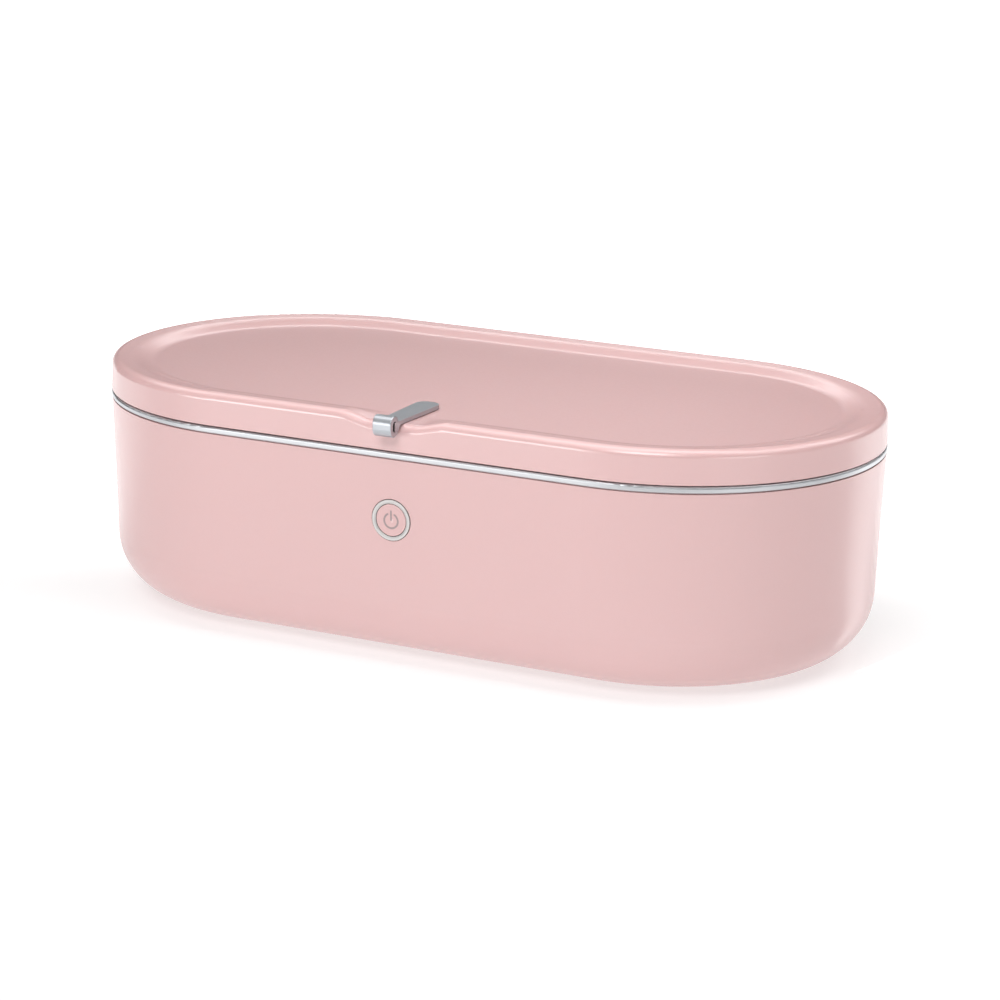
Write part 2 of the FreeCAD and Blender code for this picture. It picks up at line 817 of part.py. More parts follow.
def lid_liner():
    seal_inner = seal_outer_radius - seal_width
    z_groove = z_panel_under + seal_groove
    plate = around(corner_face([
        (0, z_panel_low, 0),
        (panel_foot_radius, z_panel_low, panel_drop_round),
        (panel_shoulder_radius, z_panel_under, panel_shoulder_round),
        (seal_inner, z_panel_under, 0),
        (seal_inner, z_groove, 0),
        (seal_outer_radius, z_groove, 0),
        (seal_outer_radius, z_panel_under, 0),
        (panel_radius, z_panel_under, edge_round),
        (panel_radius, z_panel_top, 0),
        (panel_shoulder_radius, z_panel_top, panel_drop_round),
        (panel_foot_radius, z_panel_floor, panel_shoulder_round),
        (0, z_panel_floor, 0),
    ], section))
    rooted = panel_thickness / 2
    posts = [cylinder(led_post_radius, z_panel_floor - rooted, z_led_board, x) for x in led_post_spots]
    pilot = small_screw[0] + thread_clearance
    cuts = [cylinder(pilot, z_panel_floor, z_led_board, x) for x in led_post_spots]
    cuts.append(flex_slot(z_panel_under, z_panel_top))
    for x in led_spots:
        cuts.append(cylinder(led_window_radius + led_window_clearance, z_panel_low, z_panel_floor, x))
    for x, y in panel_screw_spots:
        cuts.append(cylinder(panel_screw[0] + head_clearance, z_panel_low, z_panel_floor, x, y))
    return plate.multiFuse(posts).cut(compound(cuts)).removeSplitter()


def lid_seal():
    seal_inner = seal_outer_radius - seal_width
    z_groove = z_panel_under + seal_groove
    return around(corner_face([
        (seal_inner, z_flange, seal_edge_round),
        (seal_outer_radius, z_flange, seal_edge_round),
        (seal_outer_radius, z_groove, 0),
        (seal_inner, z_groove, 0),
    ], section))


def led_windows():
    z_flange_top = z_panel_floor + led_window_flange
    disc = turned([
        (0, z_panel_low, 0),
        (led_window_radius, z_panel_low, edge_round),
        (led_window_radius, z_panel_floor, 0),
        (led_window_flange_radius, z_panel_floor, 0),
        (led_window_flange_radius, z_flange_top, 0),
        (0, z_flange_top, 0),
    ])
    return compound([disc.translated(V(x, 0, 0)) for x in led_spots])


def led_boards():
    top = z_led_board + led_board_thickness
    hole = small_screw[0] + head_clearance
    holes = compound([cylinder(hole, z_led_board, top, x) for x in led_post_spots])
    plates = [block(led_board_length, led_board_depth, z_led_board, top, x) for x in led_spots]
    return compound([plate.cut(holes) for plate in plates])


def uv_leds():
    x_size, y_size, height = led_chip_size
    low = z_led_board - height
    return compound([block(x_size, y_size, low, z_led_board, x, y) for x, y in led_chip_spots])


def led_lenses():
    # Clear caps of a sphere, each seated on the lower face of its lamp.
    seat = z_led_board - led_chip_size[2]
    ball_radius = (led_lens_radius ** 2 + led_lens_height ** 2) / (2 * led_lens_height)
    ball = Part.makeSphere(ball_radius, V(0, 0, seat - led_lens_height + ball_radius))
    cap = ball.common(cylinder(led_lens_radius, seat - led_lens_height, seat))
    return compound([cap.translated(V(x, y, 0)) for x, y in led_chip_spots])


def led_board_screws():
    top = z_led_board + led_board_thickness
    one = screw(small_screw, led_board_rise + led_board_thickness - screw_tip_gap).rotated(V(), ALONG, 180)
    return compound([one.translated(V(x, 0, top)) for x in led_post_spots])


def panel_screws():
    one = screw(panel_screw, z_lid_ceiling - z_panel_low - screw_tip_gap)
    return compound([one.translated(V(x, y, z_panel_low)) for x, y in panel_screw_spots])


def lid_magnets():
    high = z_panel_top + magnet_height
    return compound([cylinder(magnet_radius, z_panel_top, high, x, y) for x, y in magnet_spots])


def sensor_magnet():
    x_size, y_size, height = sensor_magnet_size
    return block(x_size, y_size, z_panel_top, z_panel_top + height, 0, magnet_y)


def oval(depth, height):
    # Oval across the lift tab's barrel: half circles above and below a short straight.
    low = z_tab_under - height / 2
    high = z_tab_under + height / 2
    near = tab_barrel_y - depth / 2
    far = tab_barrel_y + depth / 2
    spots = ((near, low), (far, low), (far, high), (near, high))
    return corner_face([(y, z, depth / 2) for y, z in spots], section)


def lift_tab():
    # Strip that lies over the rim's dip, with an oval barrel to pull at in front of the wall.
    z_top = z_tab_under + tab_thickness
    barrel_back = tab_barrel_y + tab_barrel_depth / 2
    arm = corner_face([
        (tab_barrel_y, z_top, 0),
        (tab_barrel_y, z_tab_under - tab_web_drop, 0),
        (barrel_back, z_tab_under - tab_web_drop, 0),
        (barrel_back, z_tab_under, tab_web_radius),
        (tab_tip_y, z_tab_under, 0),
        (tab_tip_y, z_top, 0),
    ], section)
    half_root = tab_root_width / 2
    half_tip = tab_tip_width / 2
    arm = arm.translated(V(-half_tip, 0, 0)).extrude(V(2 * half_tip, 0, 0))
    outline = corner_face([
        (-half_root, tab_barrel_y, 0),
        (half_root, tab_barrel_y, 0),
        (half_tip, tab_tip_y, tab_tip_round),
        (-half_tip, tab_tip_y, tab_tip_round),
    ], plan)
    arm = arm.common(outline.extrude(V(0, 0, 2 * z_crest)))
    across = V(tab_root_width, 0, 0)
    barrel = oval(tab_barrel_depth, tab_barrel_height).translated(V(-half_root, 0, 0)).extrude(across)
    ends = [e for e in barrel.Edges if abs(e.BoundBox.XLength) < tab_edge_round]
    barrel = barrel.makeFillet(tab_edge_round, ends)
    slot = oval(tab_slot_depth, tab_slot_height).translated(V(-half_root, 0, 0)).extrude(across)
    z_root = z_tab_under + tab_thickness / 2
    posts = []
    cuts = [slot]
    for y in tab_post_places:
        posts.append(cylinder(tab_post_radius, z_lid_ceiling, z_root, 0, y))
        posts.append(cylinder(tab_post_seat_radius, z_dish, z_root, 0, y))
        cuts.append(cylinder(small_screw[0] + thread_clearance, z_lid_ceiling, z_tab_under, 0, y))
    return arm.multiFuse([barrel] + posts).cut(compound(cuts)).removeSplitter()


def tab_screws():
    one = screw(small_screw, z_tab_under - z_lid_ceiling - screw_tip_gap)
    return compound([one.translated(V(0, y, z_lid_ceiling)) for y in tab_post_places])


def flex_route():
    # Centre line of the ribbon from the inlet board to the lid: rises, passes the slots, turns in.
    start = rear_wall.multVec(V(0, inlet_board_half_height, flex_connector_size[2] / 2 - inlet_standoff))
    z_turn = z_panel_top + connector_size[2] / 2
    middle = flex_y + flex_thickness / 2
    return [
        (start.y, start.z + harness_end_gap),
        (start.y, start.z + flex_lead),
        (middle, z_flange_under - flex_lead),
        (middle, z_turn),
        (flex_y - flex_tail, z_turn),
    ]


def lid_flex():
    route = flex_route()
    half = flex_thickness / 2
    left = []
    right = []
    for index, (y, z) in enumerate(route):
        before = route[max(index - 1, 0)]
        after = route[min(index + 1, len(route) - 1)]
        run = V(after[0] - before[0], after[1] - before[1], 0)
        run.normalize()
        left.append((y - run.y * half, z + run.x * half, 0))
        right.append((y + run.y * half, z - run.x * half, 0))
    face = corner_face(left + right[::-1], section)
    return face.translated(V(-flex_width / 2, 0, 0)).extrude(V(flex_width, 0, 0))


def lid_connector():
    x_size, y_size, height = connector_size
    y = flex_route()[-1][0] - y_size / 2
    return block(x_size, y_size, z_panel_top, z_panel_top + height, 0, y)


def lid_wires():
    # A wire to each light unit, from the lid connector to the edge of its board.
    z = z_led_board + led_board_thickness / 2
    board_edge = led_offset - led_board_length / 2
    start_y = flex_route()[-1][0] - connector_size[1]
    bend = lid_wire_bend
    sweep = bend * (1 - math.sqrt(0.5))
    wires = []
    for side in (-1, 1):
        x = side * lid_wire_spacing / 2
        corner = V(x, 0, z)
        reach = V(side * bend, 0, 0)
        edges = [
            Part.LineSegment(V(x, start_y, z), V(x, bend, z)).toShape(),
            Part.Arc(V(x, bend, z), corner + V(side * sweep, sweep, 0), corner + reach).toShape(),
            Part.LineSegment(corner + reach, V(side * board_edge, 0, z)).toShape(),
        ]
        end = Part.Wire(Part.makeCircle(lid_wire_radius, V(x, start_y, z), V(0, 1, 0)))
        wires.append(Part.Wire(edges).makePipeShell([end], True, False))
    return compound(wires)


pieces = {
    "base_shell": base_shell,
    "base_liner": base_liner,
    "trim_ring": trim_ring,
    "rubber_feet": rubber_feet,
    "case_screws": case_screws,
    "button_bezel": button_bezel,
    "power_button": power_button,
    "switch_plunger": switch_plunger,
    "tact_switch": tact_switch,
    "control_board": control_board,
    "board_components": board_components,
    "lid_sensor": lid_sensor,
    "control_board_screws": lambda: board_screws(front_wall, board_boss_spots, board_standoff),
    "inlet_board": inlet_board,
    "inlet_connectors": inlet_connectors,
    "inlet_board_screws": lambda: board_screws(rear_wall, inlet_boss_spots, inlet_standoff),
    "usb_socket": usb_socket,
    "base_magnets": base_magnets,
    "base_harness": base_harness,
    "hinge_pin": hinge_pin,
    "lid_shell": lid_shell,
    "lid_liner": lid_liner,
    "lid_seal": lid_seal,
    "led_windows": led_windows,
    "led_boards": led_boards,
    "uv_leds": uv_leds,
    "led_lenses": led_lenses,
    "led_board_screws": led_board_screws,
    "panel_screws": panel_screws,
    "lid_magnets": lid_magnets,
    "sensor_magnet": sensor_magnet,
    "lift_tab": lift_tab,
    "tab_screws": tab_screws,
    "lid_flex": lid_flex,
    "lid_connector": lid_connector,
    "lid_wires": lid_wires,
}

os.makedirs("parts", exist_ok=True)
for name, make in pieces.items():
    shape = make()
    shape.exportStep(os.path.join("parts", name + ".step"))
    state = "valid" if shape.isValid() else "not valid"
    print(name, len(shape.Solids), "solid(s)", round(shape.Volume, 1), "mm3", state)
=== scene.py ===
import json
import math
import bpy
import bmesh
from mathutils import Matrix, Vector
from mathutils.bvhtree import BVHTree


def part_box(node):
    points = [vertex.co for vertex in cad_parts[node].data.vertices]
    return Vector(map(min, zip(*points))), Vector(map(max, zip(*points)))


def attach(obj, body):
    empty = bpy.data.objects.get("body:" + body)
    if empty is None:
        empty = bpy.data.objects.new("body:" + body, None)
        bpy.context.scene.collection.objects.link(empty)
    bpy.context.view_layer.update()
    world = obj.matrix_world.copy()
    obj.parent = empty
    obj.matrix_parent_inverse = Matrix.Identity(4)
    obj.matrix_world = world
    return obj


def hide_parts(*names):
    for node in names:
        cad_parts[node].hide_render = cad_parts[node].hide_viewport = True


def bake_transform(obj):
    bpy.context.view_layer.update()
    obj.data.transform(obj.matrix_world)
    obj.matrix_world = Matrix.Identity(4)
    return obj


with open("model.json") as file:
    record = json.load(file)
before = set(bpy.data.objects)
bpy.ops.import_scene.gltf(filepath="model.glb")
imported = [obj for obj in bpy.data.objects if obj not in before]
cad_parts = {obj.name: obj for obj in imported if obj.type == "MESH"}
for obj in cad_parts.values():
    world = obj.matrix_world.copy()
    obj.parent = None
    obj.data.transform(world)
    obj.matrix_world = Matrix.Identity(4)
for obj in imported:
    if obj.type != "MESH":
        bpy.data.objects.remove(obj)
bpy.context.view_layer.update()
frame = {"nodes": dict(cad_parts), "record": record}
nodes = frame["nodes"]
slotOf = {part["node"]: part["material_slot"] for part in frame["record"]["subparts"]}


# Shader helpers

class Sock:
    # one output socket, so that shader maths reads as plain expressions
    def __init__(self, finish, out):
        self.finish = finish
        self.out = out

    def maths(self, operation, first, second):
        return self.finish.node("ShaderNodeMath", {"operation": operation}, {0: first, 1: second})

    def __add__(self, other):
        return self.maths("ADD", self, other)

    def __radd__(self, other):
        return self.maths("ADD", other, self)

    def __sub__(self, other):
        return self.maths("SUBTRACT", self, other)

    def __rsub__(self, other):
        return self.maths("SUBTRACT", other, self)

    def __mul__(self, other):
        return self.maths("MULTIPLY", self, other)

    def __rmul__(self, other):
        return self.maths("MULTIPLY", other, self)

    def __gt__(self, other):
        return self.maths("GREATER_THAN", self, other)

    def __lt__(self, other):
        return self.maths("LESS_THAN", self, other)


class Finish:
    # one material: a Principled shader and the nodes that feed it
    def __init__(self, name):
        self.material = bpy.data.materials.new(name)
        self.material.use_nodes = True
        self.tree = self.material.node_tree
        self.tree.nodes.clear()

    def node(self, kind, settings=None, sockets=None, out=0):
        made = self.tree.nodes.new(kind)
        for key, value in (settings or {}).items():
            setattr(made, key, value)
        for key, value in (sockets or {}).items():
            if isinstance(value, Sock):
                self.tree.links.new(value.out, made.inputs[key])
            else:
                made.inputs[key].default_value = value
        return Sock(self, made.outputs[out]) if made.outputs else None

    def place(self):
        return self.node("ShaderNodeTexCoord", out="Object")

    def scaled(self, vector, factors):
        return self.node("ShaderNodeVectorMath", {"operation": "MULTIPLY"}, {0: vector, 1: factors})

    def shifted(self, vector, offset):
        return self.node("ShaderNodeVectorMath", {"operation": "SUBTRACT"}, {0: vector, 1: offset})

    def heading(self, vector):
        return self.node("ShaderNodeVectorMath", {"operation": "NORMALIZE"}, {0: vector})

    def reach(self, vector):
        return self.node("ShaderNodeVectorMath", {"operation": "LENGTH"}, {0: vector}, out="Value")

    def along(self, vector, direction):
        return self.node(
            "ShaderNodeVectorMath", {"operation": "DOT_PRODUCT"},
            {0: vector, 1: direction}, out="Value")

    def noise(self, vector, scale, detail=2.0):
        return self.node("ShaderNodeTexNoise", {}, {"Vector": vector, "Scale": scale, "Detail": detail})

    def ramp(self, value, reach):
        return self.node(
            "ShaderNodeMapRange", {"interpolation_type": "SMOOTHSTEP"},
            {"Value": value, "From Min": reach[0], "From Max": reach[1]})

    def mix(self, factor, first, second):
        return self.node(
            "ShaderNodeMix", {"data_type": "RGBA"}, {0: factor, 6: first, 7: second}, out=2)

    def toned(self, noise, colour, tones):
        # the noise runs from the darker to the lighter tone of the colour
        darker, lighter = tones
        return self.mix(noise, tinted(colour, darker), tinted(colour, lighter))

    def varied(self, middle, noise, spread):
        # the noise moves the value by half the spread either way
        return middle + (noise - 0.5) * spread

    def bump(self, height, distance, strength=1.0):
        return self.node(
            "ShaderNodeBump", {}, {"Height": height, "Distance": distance, "Strength": strength})

    def shade(self, sockets):
        shader = self.node("ShaderNodeBsdfPrincipled", {}, sockets)
        self.node("ShaderNodeOutputMaterial", {}, {"Surface": shader})
        return self.material


def tinted(colour, factor):
    return tuple(min(1.0, part * factor) for part in colour[:3]) + (1.0,)


# Finishes

pinkValues = {
    "shell": (0.690, 0.446, 0.440, 1.0),
    "button": (0.682, 0.438, 0.432, 1.0),
    "tones": (0.978, 1.022),
    "cloudScale": 14.0,       # slow drift of the pigment over the moulding
    "cloudShare": 0.6,
    "grainScale": 950.0,      # fine pigment grain
    "grainDetail": 3.0,
    "grainShare": 0.4,
    "roughness": 0.25,
    "roughnessSpread": 0.06,
    "gloss": 0.9,
    "ior": 1.52,
    "glow": 0.06,             # share of the light that sinks in and comes out pink
    "glowRadius": (0.004, 0.0015, 0.001),
    "glowScale": 0.5,
    "peelScale": 420.0,       # the faint ripple of a moulded gloss surface
    "peelDepth": 0.0000035,
}


def pinkPlastic(name, part):
    values = pinkValues
    finish = Finish(name)
    place = finish.place()
    cloud = finish.noise(place, values["cloudScale"])
    grain = finish.noise(place, values["grainScale"], values["grainDetail"])
    tone = cloud * values["cloudShare"] + grain * values["grainShare"]
    return finish.shade({
        "Base Color": finish.toned(tone, values[part], values["tones"]),
        "Roughness": finish.varied(values["roughness"], grain, values["roughnessSpread"]),
        "Normal": finish.bump(finish.noise(place, values["peelScale"]), values["peelDepth"]),
        "IOR": values["ior"],
        "Specular IOR Level": values["gloss"],
        "Subsurface Weight": values["glow"],
        "Subsurface Radius": values["glowRadius"],
        "Subsurface Scale": values["glowScale"],
    })


metalValues = {
    "tones": (0.95, 1.04),
    "grainDetail": 3.0,
    # grain counts the waves in a metre along x, y and z
    "trim": {
        "colour": (0.60, 0.61, 0.63, 1.0), "grain": (60, 60, 2600), "depth": 6e-8,
        "roughness": 0.42, "roughnessSpread": 0.04},
    "tab": {
        "colour": (0.50, 0.52, 0.55, 1.0), "grain": (900, 900, 900), "depth": 1e-6,
        "roughness": 0.42, "roughnessSpread": 0.10},
    "fastener": {
        "colour": (0.60, 0.60, 0.61, 1.0), "grain": (1400, 1400, 1400), "depth": 2e-6,
        "roughness": 0.32, "roughnessSpread": 0.10},
    "socket": {
        "colour": (0.66, 0.66, 0.67, 1.0), "grain": (2200, 300, 2200), "depth": 1e-6,
        "roughness": 0.28, "roughnessSpread": 0.10},
    "magnet": {
        "colour": (0.72, 0.71, 0.68, 1.0), "grain": (700, 700, 700), "depth": 1e-6,
        "roughness": 0.22, "roughnessSpread": 0.10},
}


def grainedMetal(name, part):
    # the grain is stretched along the way the metal was drawn or polished
    values = metalValues[part]
    finish = Finish(name)
    place = finish.scaled(finish.place(), values["grain"])
    grain = finish.noise(place, 1.0, metalValues["grainDetail"])
    return finish.shade({
        "Base Color": finish.toned(grain, values["colour"], metalValues["tones"]),
        "Metallic": 1.0,
        "Roughness": finish.varied(values["roughness"], grain, values["roughnessSpread"]),
        "Normal": finish.bump(grain, values["depth"]),
    })


bezelValues = {
    "colour": (0.60, 0.59, 0.58, 1.0),
    "tones": (0.93, 1.05),
    "roughness": 0.50,
    "roughnessSpread": 0.14,
    "turnScale": 9000.0,      # rings left by turning, about nine to the millimetre
    "turnDepth": 4.0e-7,
}


def turnedMetal(name):
    values = bezelValues
    finish = Finish(name)
    low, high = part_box("button_bezel")
    flat = finish.scaled(finish.shifted(finish.place(), tuple((low + high) / 2)), (1, 0, 1))
    rings = finish.node(
        "ShaderNodeTexNoise", {"noise_dimensions": "1D"},
        {"W": finish.reach(flat), "Scale": values["turnScale"]})
    return finish.shade({
        "Base Color": finish.toned(rings, values["colour"], values["tones"]),
        "Metallic": 1.0,
        "Roughness": finish.varied(values["roughness"], rings, values["roughnessSpread"]),
        "Normal": finish.bump(rings, values["turnDepth"]),
    })


linerValues = {
    "colour": (0.74, 0.745, 0.75, 1.0),
    "tones": (0.97, 1.02),
    "roughness": 0.24,
    "roughnessSpread": 0.08,
    "hazeScale": 260.0,
    "hazeDetail": 4.0,
    "waveScale": 46.0,        # slow waves in the bright surface
    "waveDetail": 1.0,
    "waveDepth": 0.00004,
    "waveStrength": 0.5,
}


def brightLiner(name):
    values = linerValues
    finish = Finish(name)
    place = finish.place()
    haze = finish.noise(place, values["hazeScale"], values["hazeDetail"])
    wave = finish.noise(place, values["waveScale"], values["waveDetail"])
    return finish.shade({
        "Base Color": finish.toned(haze, values["colour"], values["tones"]),
        "Metallic": 1.0,
        "Roughness": finish.varied(values["roughness"], haze, values["roughnessSpread"]),
        "Normal": finish.bump(wave, values["waveDepth"], values["waveStrength"]),
    })


mattValues = {
    "tones": (0.88, 1.12),
    "roughnessSpread": 0.16,
    "grainDetail": 3.0,
    "rubber": {"colour": (0.075, 0.066, 0.066, 1.0), "roughness": 0.72, "scale": 2400.0, "depth": 8e-6},
    "silicone": {"colour": (0.72, 0.69, 0.68, 1.0), "roughness": 0.48, "scale": 1500.0, "depth": 3e-6},
    "black": {"colour": (0.022, 0.022, 0.024, 1.0), "roughness": 0.50, "scale": 3000.0, "depth": 3e-6},
    "plunger": {"colour": (0.30, 0.30, 0.31, 1.0), "roughness": 0.45, "scale": 2000.0, "depth": 2e-6},
    "connector": {"colour": (0.76, 0.75, 0.71, 1.0), "roughness": 0.42, "scale": 1800.0, "depth": 2e-6},
    "cable": {"colour": (0.10, 0.10, 0.11, 1.0), "roughness": 0.55, "scale": 1200.0, "depth": 3e-6},
    "ceramic": {"colour": (0.78, 0.76, 0.68, 1.0), "roughness": 0.38, "scale": 3500.0, "depth": 1e-6},
    "sign": {"colour": (0.350, 0.275, 0.272, 1.0), "roughness": 0.42, "scale": 5000.0, "depth": 5e-7},
}


def mattPlastic(name, part):
    values = mattValues[part]
    finish = Finish(name)
    grain = finish.noise(finish.place(), values["scale"], mattValues["grainDetail"])
    return finish.shade({
        "Base Color": finish.toned(grain, values["colour"], mattValues["tones"]),
        "Roughness": finish.varied(values["roughness"], grain, mattValues["roughnessSpread"]),
        "Normal": finish.bump(grain, values["depth"]),
    })


boardValues = {
    "control": {
        "ground": (0.012, 0.105, 0.050, 1.0), "track": (0.030, 0.220, 0.105, 1.0), "roughness": 0.34},
    "lamp": {
        "ground": (0.80, 0.80, 0.78, 1.0), "track": (0.62, 0.58, 0.46, 1.0), "roughness": 0.40},
    "trackScale": 420.0,
    "trackScatter": 0.75,
    "trackWidth": 0.045,
    "trackRoughness": 0.08,   # added to the board's own
    "trackHeight": 0.000012,
}


def circuitBoard(name, part):
    # cells whose edges read as copper tracks under the mask
    values = boardValues
    board = values[part]
    finish = Finish(name)
    cells = finish.node(
        "ShaderNodeTexVoronoi", {"feature": "DISTANCE_TO_EDGE"},
        {"Vector": finish.place(), "Scale": values["trackScale"], "Randomness": values["trackScatter"]},
        out="Distance")
    track = cells < values["trackWidth"]
    return finish.shade({
        "Base Color": finish.mix(track, board["ground"], board["track"]),
        "Roughness": board["roughness"] + track * values["trackRoughness"],
        "Normal": finish.bump(track, values["trackHeight"]),
    })


filmValues = {
    "film": (0.46, 0.205, 0.030, 1.0),
    "copper": (0.62, 0.36, 0.14, 1.0),
    "lanes": 6,               # conductors across the ribbon
    "stripe": (0.28, 0.72),   # where the conductor starts and ends in its lane
    "stripeHeight": 0.00001,
    "grainScale": 1500.0,
    "roughness": 0.30,
    "roughnessSpread": 0.12,
}
ribbonLow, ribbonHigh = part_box("lid_flex")
lanePitch = (ribbonHigh.x - ribbonLow.x) / filmValues["lanes"]


def ribbonFilm(name):
    values = filmValues
    finish = Finish(name)
    across = finish.node("ShaderNodeSeparateXYZ", {}, {0: finish.place()}, out="X")
    lane = finish.node("ShaderNodeMath", {"operation": "FRACT"}, {0: across * (1 / lanePitch)})
    stripeStart, stripeEnd = values["stripe"]
    stripe = (lane > stripeStart) * (lane < stripeEnd)
    grain = finish.noise(finish.place(), values["grainScale"])
    return finish.shade({
        "Base Color": finish.mix(stripe, values["film"], values["copper"]),
        "Roughness": values["roughness"] + grain * values["roughnessSpread"],
        "Normal": finish.bump(stripe, values["stripeHeight"]),
    })


windowValues = {
    "tint": (0.93, 0.96, 1.0, 1.0),
    "ior": 1.46,
    "roughness": 0.015,
    "roughnessSpread": 0.03,
    "smearScale": 180.0,
    "smearDetail": 4.0,
}


def clearQuartz(name):
    values = windowValues
    finish = Finish(name)
    smear = finish.noise(finish.place(), values["smearScale"], values["smearDetail"])
    return finish.shade({
        "Base Color": values["tint"],
        "Roughness": values["roughness"] + smear * values["roughnessSpread"],
        "Transmission Weight": 1.0,
        "IOR": values["ior"],
    })


finishes = {
    "shell_pink": pinkPlastic("shell_pink_moulding", "shell"),
    "button_pink": pinkPlastic("button_pink_moulding", "button"),
    "liner_bright": brightLiner("liner_mirror_coat"),
    "trim_chrome": grainedMetal("trim_bright_band", "trim"),
    "tab_metal": grainedMetal("tab_satin_cast", "tab"),
    "bezel_silver": turnedMetal("bezel_turned_ring"),
    "foot_rubber": mattPlastic("foot_rubber_pad", "rubber"),
    "seal_silicone": mattPlastic("seal_soft_silicone", "silicone"),
    "fastener_steel": grainedMetal("fastener_zinc_steel", "fastener"),
    "socket_steel": grainedMetal("socket_drawn_steel", "socket"),
    "component_black": mattPlastic("component_black_resin", "black"),
    "plunger_grey": mattPlastic("plunger_grey_nylon", "plunger"),
    "board_green": circuitBoard("board_green_mask", "control"),
    "connector_white": mattPlastic("connector_white_nylon", "connector"),
    "magnet_nickel": grainedMetal("magnet_nickel_plate", "magnet"),
    "cable_grey": mattPlastic("cable_dark_jacket", "cable"),
    "flex_amber": ribbonFilm("flex_amber_film"),
    "led_board_white": circuitBoard("led_board_white_mask", "lamp"),
    "led_chip": mattPlastic("led_ceramic_case", "ceramic"),
    "window_quartz": clearQuartz("window_clear_quartz"),
}
for nodeName, piece in nodes.items():
    piece.data.materials.clear()
    piece.data.materials.append(finishes[slotOf[nodeName]])
print("finishes:", len(finishes), "on", len(nodes), "nodes")


# Pieces that the solids don't hold

creaseAngle = math.radians(30.0)  # a sharper edge than this stays crisp


def shadedMesh(name, build):
    mesh = bpy.data.meshes.new(name)
    build.to_mesh(mesh)
    build.free()
    for face in mesh.polygons:
        face.use_smooth = True
    mesh.set_sharp_from_angle(angle=creaseAngle)
    mesh.update()
    return mesh


def meshPiece(name, build, material):
    bmesh.ops.recalc_face_normals(build, faces=build.faces)
    piece = bpy.data.objects.new(name, shadedMesh(name, build))
    bpy.context.scene.collection.objects.link(piece)
    piece.data.materials.append(material)
    return piece


signValues = {
    "ringRadius": 0.00222,    # to the middle of the line
    "line": 0.00057,
    "gapHalf": math.radians(30.0),
    "barLow": 0.00028,
    "barHigh": 0.00292,
    "drop": 0.00035,          # ring centre below the middle of the cap
    "lift": 0.00003,          # the print stands this far proud of the cap
    "steps": 72,
    "capSteps": 10,
    "castFrom": 0.01,         # each point is laid on the cap from this far in front
    "weld": 1e-7,
}


def strokeOutline(points, half, capSteps):
    # both sides of a line of points, with round ends
    sides = []
    for index, point in enumerate(points):
        before = points[max(index - 1, 0)]
        after = points[min(index + 1, len(points) - 1)]
        run = (after - before).normalized()
        sides.append((point, Vector((-run.y, run.x)) * half))
    rows = [(point + side, point - side) for point, side in sides]
    startPoint, startSide = sides[0]
    endPoint, endSide = sides[-1]
    startRun = Vector((startSide.y, -startSide.x))
    endRun = Vector((endSide.y, -endSide.x))
    startRows = []
    endRows = []
    for step in range(1, capSteps + 1):
        turn = math.pi / 2 * step / capSteps
        wide = math.cos(turn)
        along = math.sin(turn)
        startRows.insert(0, (startPoint + startSide * wide - startRun * along,
                             startPoint - startSide * wide - startRun * along))
        endRows.append((endPoint + endSide * wide + endRun * along,
                        endPoint - endSide * wide + endRun * along))
    return startRows + rows + endRows


def powerSign():
    values = signValues
    low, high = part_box("power_button")
    middle = Vector(((low.x + high.x) / 2, 0, (low.z + high.z) / 2 - values["drop"]))
    inward = Vector((0, 1, 0))
    arc = []
    for step in range(values["steps"] + 1):
        turn = values["gapHalf"] + (2 * math.pi - 2 * values["gapHalf"]) * step / values["steps"]
        arc.append(Vector((math.sin(turn), math.cos(turn))) * values["ringRadius"])
    bar = [Vector((0, values["barLow"])), Vector((0, values["barHigh"]))]
    capMesh = nodes["power_button"].data
    cap = BVHTree.FromPolygons(
        [vertex.co for vertex in capMesh.vertices],
        [tuple(face.vertices) for face in capMesh.polygons])
    build = bmesh.new()
    for stroke in (arc, bar):
        previous = None
        for left, right in strokeOutline(stroke, values["line"] / 2, values["capSteps"]):
            row = []
            for point in (left, right):
                start = middle + Vector((point.x, low.y - values["castFrom"], point.y))
                hit = cap.ray_cast(start, inward)[0]
                row.append(build.verts.new(hit - inward * values["lift"]))
            if previous:
                build.faces.new((previous[0], row[0], row[1], previous[1]))
            previous = row
    bmesh.ops.remove_doubles(build, verts=build.verts, dist=values["weld"])
    ink = mattPlastic("sign_grey_print", "sign")
    piece = meshPiece("power_sign", build, ink)
    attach(piece, "button")


# painted shade: a black slug set inside the slot of the tab's barrel, so that the slot reads dark
slotShadeValues = {
    "centre": (0.0, -0.0676, 0.0738),  # middle of the slot through the tab's barrel
    "radius": 0.00107,
    "spread": 0.0005,         # from the middle to the centre of each round end
    "half": 0.0023,           # the barrel is 6 mm long, so each end lies 0.7 mm deep
    "steps": 16,
}


# lays the black slug of painted shade inside the barrel's slot
def barrelSlotShade():
    values = slotShadeValues
    outline = []
    for side in (1, -1):
        for step in range(values["steps"] + 1):
            turn = math.pi * step / values["steps"]
            outline.append(Vector((
                0, math.cos(turn) * values["radius"] * side,
                (math.sin(turn) * values["radius"] + values["spread"]) * side)))
    build = bmesh.new()
    ends = []
    for place in (-values["half"], values["half"]):
        shift = Vector(values["centre"]) + Vector((place, 0, 0))
        ends.append([build.verts.new(point + shift) for point in outline])
        build.faces.new(ends[-1])
    for index in range(len(outline)):
        following = (index + 1) % len(outline)
        build.faces.new((ends[0][index], ends[0][following], ends[1][following], ends[1][index]))
    piece = meshPiece("barrel_slot_shade", build, finishes["component_black"])
    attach(piece, "lid")


